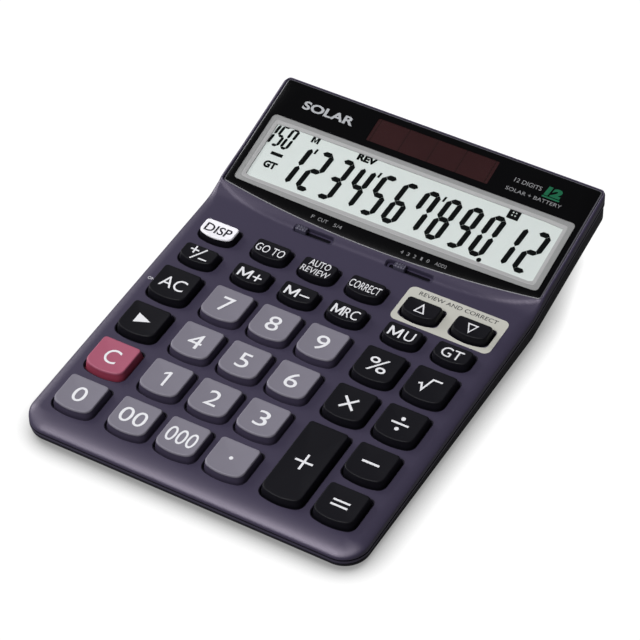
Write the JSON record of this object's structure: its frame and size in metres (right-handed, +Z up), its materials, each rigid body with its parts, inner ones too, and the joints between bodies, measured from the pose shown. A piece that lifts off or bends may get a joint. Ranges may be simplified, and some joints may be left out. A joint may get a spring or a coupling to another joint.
{
  "type": "desk calculator",
  "caption": "Wedge-shaped desk calculator with a keyboard of separate travelling keys, two slide selectors and a raised, steeper display head with a solar window.",
  "frame": {"origin": "middle of the footprint, on the desk under the rubber feet", "axes": "+X the user's right, +Y from the user to the back, +Z up"},
  "size_m": [0.1414, 0.191, 0.0342],
  "materials": {
    "case_plastic": "fine satin texture",
    "base_plastic": "fine satin texture",
    "key_black": "satin",
    "key_grey": "satin, printed top on a black body",
    "key_red": "satin",
    "key_white": "satin",
    "lens": "clear acrylic with a black print behind it",
    "trim": "satin silver",
    "display_glass": "polished",
    "reflector": "pale grey-green",
    "natural_plastic": "matt",
    "ribbon": "amber film",
    "solar": "dark red-brown glass",
    "board": "green solder mask",
    "keypad_rubber": "matt",
    "chip": "matt",
    "parts": "sleeved",
    "cell_steel": "plain",
    "contact_metal": "nickel plated",
    "screw_steel": "zinc plated",
    "lead_sleeve": "plastic sleeve, one red and one black",
    "foot_rubber": "matt",
    "white_print": "printed legend",
    "dark_print": "printed legend and display segment",
    "beige_print": "printed surround",
    "green_print": "printed badge"
  },
  "bodies": {
    "case": {"upper_case": "case_plastic", "lower_case": "base_plastic", "display_lens": "lens", "display_trim": "trim", "lcd_glass": "display_glass", "lcd_reflector": "reflector", "lcd_holder": "natural_plastic", "display_ribbon": "ribbon", "solar_cell": "solar", "solar_leads": "lead_sleeve", "main_board": "board", "rubber_keypad": "keypad_rubber", "calculator_chip": "chip", "board_parts": "parts", "button_cell": "cell_steel", "cell_contact_positive": "contact_metal", "cell_contact_negative": "contact_metal", "case_screws": "screw_steel", "board_screws": "screw_steel", "rubber_feet": "foot_rubber"},
    "key_disp_body": {"key_disp": "key_white"},
    "key_go_to_body": {"key_go_to": "key_black"},
    "key_auto_review_body": {"key_auto_review": "key_black"},
    "key_correct_body": {"key_correct": "key_black"},
    "key_review_up_body": {"key_review_up": "key_black"},
    "key_review_down_body": {"key_review_down": "key_black"},
    "key_sign_body": {"key_sign": "key_black"},
    "key_m_plus_body": {"key_m_plus": "key_black"},
    "key_m_minus_body": {"key_m_minus": "key_black"},
    "key_mrc_body": {"key_mrc": "key_black"},
    "key_mu_body": {"key_mu": "key_black"},
    "key_gt_body": {"key_gt": "key_black"},
    "key_ac_body": {"key_ac": "key_black"},
    "key_7_body": {"key_7": "key_grey"},
    "key_8_body": {"key_8": "key_grey"},
    "key_9_body": {"key_9": "key_grey"},
    "key_percent_body": {"key_percent": "key_black"},
    "key_root_body": {"key_root": "key_black"},
    "key_shift_body": {"key_shift": "key_black"},
    "key_4_body": {"key_4": "key_grey"},
    "key_5_body": {"key_5": "key_grey"},
    "key_6_body": {"key_6": "key_grey"},
    "key_multiply_body": {"key_multiply": "key_black"},
    "key_divide_body": {"key_divide": "key_black"},
    "key_c_body": {"key_c": "key_red"},
    "key_1_body": {"key_1": "key_grey"},
    "key_2_body": {"key_2": "key_grey"},
    "key_3_body": {"key_3": "key_grey"},
    "key_plus_body": {"key_plus": "key_black"},
    "key_minus_body": {"key_minus": "key_black"},
    "key_0_body": {"key_0": "key_grey"},
    "key_00_body": {"key_00": "key_grey"},
    "key_000_body": {"key_000": "key_grey"},
    "key_point_body": {"key_point": "key_grey"},
    "key_equals_body": {"key_equals": "key_black"},
    "rounding_selector": {"rounding_knob": "case_plastic", "rounding_wiper": "contact_metal"},
    "decimal_selector": {"decimal_knob": "case_plastic", "decimal_wiper": "contact_metal"}
  },
  "joints": [
    {"name": "key_disp_press", "type": "slide", "parent": "case", "child": "key_disp_body", "axis": [0, 0.0544, -0.9985], "range_m": [0, 0.0012], "stiffness_N_per_m": 250, "springref_m": -0.0012},
    {"name": "key_go_to_press", "type": "slide", "parent": "case", "child": "key_go_to_body", "axis": [0, 0.0544, -0.9985], "range_m": [0, 0.0012], "stiffness_N_per_m": 250, "springref_m": -0.0012},
    {"name": "key_auto_review_press", "type": "slide", "parent": "case", "child": "key_auto_review_body", "axis": [0, 0.0544, -0.9985], "range_m": [0, 0.0012], "stiffness_N_per_m": 250, "springref_m": -0.0012},
    {"name": "key_correct_press", "type": "slide", "parent": "case", "child": "key_correct_body", "axis": [0, 0.0544, -0.9985], "range_m": [0, 0.0012], "stiffness_N_per_m": 250, "springref_m": -0.0012},
    {"name": "key_review_up_press", "type": "slide", "parent": "case", "child": "key_review_up_body", "axis": [0, 0.0544, -0.9985], "range_m": [0, 0.0012], "stiffness_N_per_m": 250, "springref_m": -0.0012},
    {"name": "key_review_down_press", "type": "slide", "parent": "case", "child": "key_review_down_body", "axis": [0, 0.0544, -0.9985], "range_m": [0, 0.0012], "stiffness_N_per_m": 250, "springref_m": -0.0012},
    {"name": "key_sign_press", "type": "slide", "parent": "case", "child": "key_sign_body", "axis": [0, 0.0544, -0.9985], "range_m": [0, 0.0012], "stiffness_N_per_m": 250, "springref_m": -0.0012},
    {"name": "key_m_plus_press", "type": "slide", "parent": "case", "child": "key_m_plus_body", "axis": [0, 0.0544, -0.9985], "range_m": [0, 0.0012], "stiffness_N_per_m": 250, "springref_m": -0.0012},
    {"name": "key_m_minus_press", "type": "slide", "parent": "case", "child": "key_m_minus_body", "axis": [0, 0.0544, -0.9985], "range_m": [0, 0.0012], "stiffness_N_per_m": 250, "springref_m": -0.0012},
    {"name": "key_mrc_press", "type": "slide", "parent": "case", "child": "key_mrc_body", "axis": [0, 0.0544, -0.9985], "range_m": [0, 0.0012], "stiffness_N_per_m": 250, "springref_m": -0.0012},
    {"name": "key_mu_press", "type": "slide", "parent": "case", "child": "key_mu_body", "axis": [0, 0.0544, -0.9985], "range_m": [0, 0.0012], "stiffness_N_per_m": 250, "springref_m": -0.0012},
    {"name": "key_gt_press", "type": "slide", "parent": "case", "child": "key_gt_body", "axis": [0, 0.0544, -0.9985], "range_m": [0, 0.0012], "stiffness_N_per_m": 250, "springref_m": -0.0012},
    {"name": "key_ac_press", "type": "slide", "parent": "case", "child": "key_ac_body", "axis": [0, 0.0544, -0.9985], "range_m": [0, 0.0012], "stiffness_N_per_m": 250, "springref_m": -0.0012},
    {"name": "key_7_press", "type": "slide", "parent": "case", "child": "key_7_body", "axis": [0, 0.0544, -0.9985], "range_m": [0, 0.0012], "stiffness_N_per_m": 250, "springref_m": -0.0012},
    {"name": "key_8_press", "type": "slide", "parent": "case", "child": "key_8_body", "axis": [0, 0.0544, -0.9985], "range_m": [0, 0.0012], "stiffness_N_per_m": 250, "springref_m": -0.0012},
    {"name": "key_9_press", "type": "slide", "parent": "case", "child": "key_9_body", "axis": [0, 0.0544, -0.9985], "range_m": [0, 0.0012], "stiffness_N_per_m": 250, "springref_m": -0.0012},
    {"name": "key_percent_press", "type": "slide", "parent": "case", "child": "key_percent_body", "axis": [0, 0.0544, -0.9985], "range_m": [0, 0.0012], "stiffness_N_per_m": 250, "springref_m": -0.0012},
    {"name": "key_root_press", "type": "slide", "parent": "case", "child": "key_root_body", "axis": [0, 0.0544, -0.9985], "range_m": [0, 0.0012], "stiffness_N_per_m": 250, "springref_m": -0.0012},
    {"name": "key_shift_press", "type": "slide", "parent": "case", "child": "key_shift_body", "axis": [0, 0.0544, -0.9985], "range_m": [0, 0.0012], "stiffness_N_per_m": 250, "springref_m": -0.0012},
    {"name": "key_4_press", "type": "slide", "parent": "case", "child": "key_4_body", "axis": [0, 0.0544, -0.9985], "range_m": [0, 0.0012], "stiffness_N_per_m": 250, "springref_m": -0.0012},
    {"name": "key_5_press", "type": "slide", "parent": "case", "child": "key_5_body", "axis": [0, 0.0544, -0.9985], "range_m": [0, 0.0012], "stiffness_N_per_m": 250, "springref_m": -0.0012},
    {"name": "key_6_press", "type": "slide", "parent": "case", "child": "key_6_body", "axis": [0, 0.0544, -0.9985], "range_m": [0, 0.0012], "stiffness_N_per_m": 250, "springref_m": -0.0012},
    {"name": "key_multiply_press", "type": "slide", "parent": "case", "child": "key_multiply_body", "axis": [0, 0.0544, -0.9985], "range_m": [0, 0.0012], "stiffness_N_per_m": 250, "springref_m": -0.0012},
    {"name": "key_divide_press", "type": "slide", "parent": "case", "child": "key_divide_body", "axis": [0, 0.0544, -0.9985], "range_m": [0, 0.0012], "stiffness_N_per_m": 250, "springref_m": -0.0012},
    {"name": "key_c_press", "type": "slide", "parent": "case", "child": "key_c_body", "axis": [0, 0.0544, -0.9985], "range_m": [0, 0.0012], "stiffness_N_per_m": 250, "springref_m": -0.0012},
    {"name": "key_1_press", "type": "slide", "parent": "case", "child": "key_1_body", "axis": [0, 0.0544, -0.9985], "range_m": [0, 0.0012], "stiffness_N_per_m": 250, "springref_m": -0.0012},
    {"name": "key_2_press", "type": "slide", "parent": "case", "child": "key_2_body", "axis": [0, 0.0544, -0.9985], "range_m": [0, 0.0012], "stiffness_N_per_m": 250, "springref_m": -0.0012},
    {"name": "key_3_press", "type": "slide", "parent": "case", "child": "key_3_body", "axis": [0, 0.0544, -0.9985], "range_m": [0, 0.0012], "stiffness_N_per_m": 250, "springref_m": -0.0012},
    {"name": "key_plus_press", "type": "slide", "parent": "case", "child": "key_plus_body", "axis": [0, 0.0544, -0.9985], "range_m": [0, 0.0012], "stiffness_N_per_m": 250, "springref_m": -0.0012},
    {"name": "key_minus_press", "type": "slide", "parent": "case", "child": "key_minus_body", "axis": [0, 0.0544, -0.9985], "range_m": [0, 0.0012], "stiffness_N_per_m": 250, "springref_m": -0.0012},
    {"name": "key_0_press", "type": "slide", "parent": "case", "child": "key_0_body", "axis": [0, 0.0544, -0.9985], "range_m": [0, 0.0012], "stiffness_N_per_m": 250, "springref_m": -0.0012},
    {"name": "key_00_press", "type": "slide", "parent": "case", "child": "key_00_body", "axis": [0, 0.0544, -0.9985], "range_m": [0, 0.0012], "stiffness_N_per_m": 250, "springref_m": -0.0012},
    {"name": "key_000_press", "type": "slide", "parent": "case", "child": "key_000_body", "axis": [0, 0.0544, -0.9985], "range_m": [0, 0.0012], "stiffness_N_per_m": 250, "springref_m": -0.0012},
    {"name": "key_point_press", "type": "slide", "parent": "case", "child": "key_point_body", "axis": [0, 0.0544, -0.9985], "range_m": [0, 0.0012], "stiffness_N_per_m": 250, "springref_m": -0.0012},
    {"name": "key_equals_press", "type": "slide", "parent": "case", "child": "key_equals_body", "axis": [0, 0.0544, -0.9985], "range_m": [0, 0.0012], "stiffness_N_per_m": 250, "springref_m": -0.0012},
    {"name": "rounding_select", "type": "slide", "parent": "case", "child": "rounding_selector", "axis": [1, 0, 0], "range_m": [0, 0.011]},
    {"name": "decimal_select", "type": "slide", "parent": "case", "child": "decimal_selector", "axis": [1, 0, 0], "range_m": [-0.0028, 0.0112]}
  ]
}
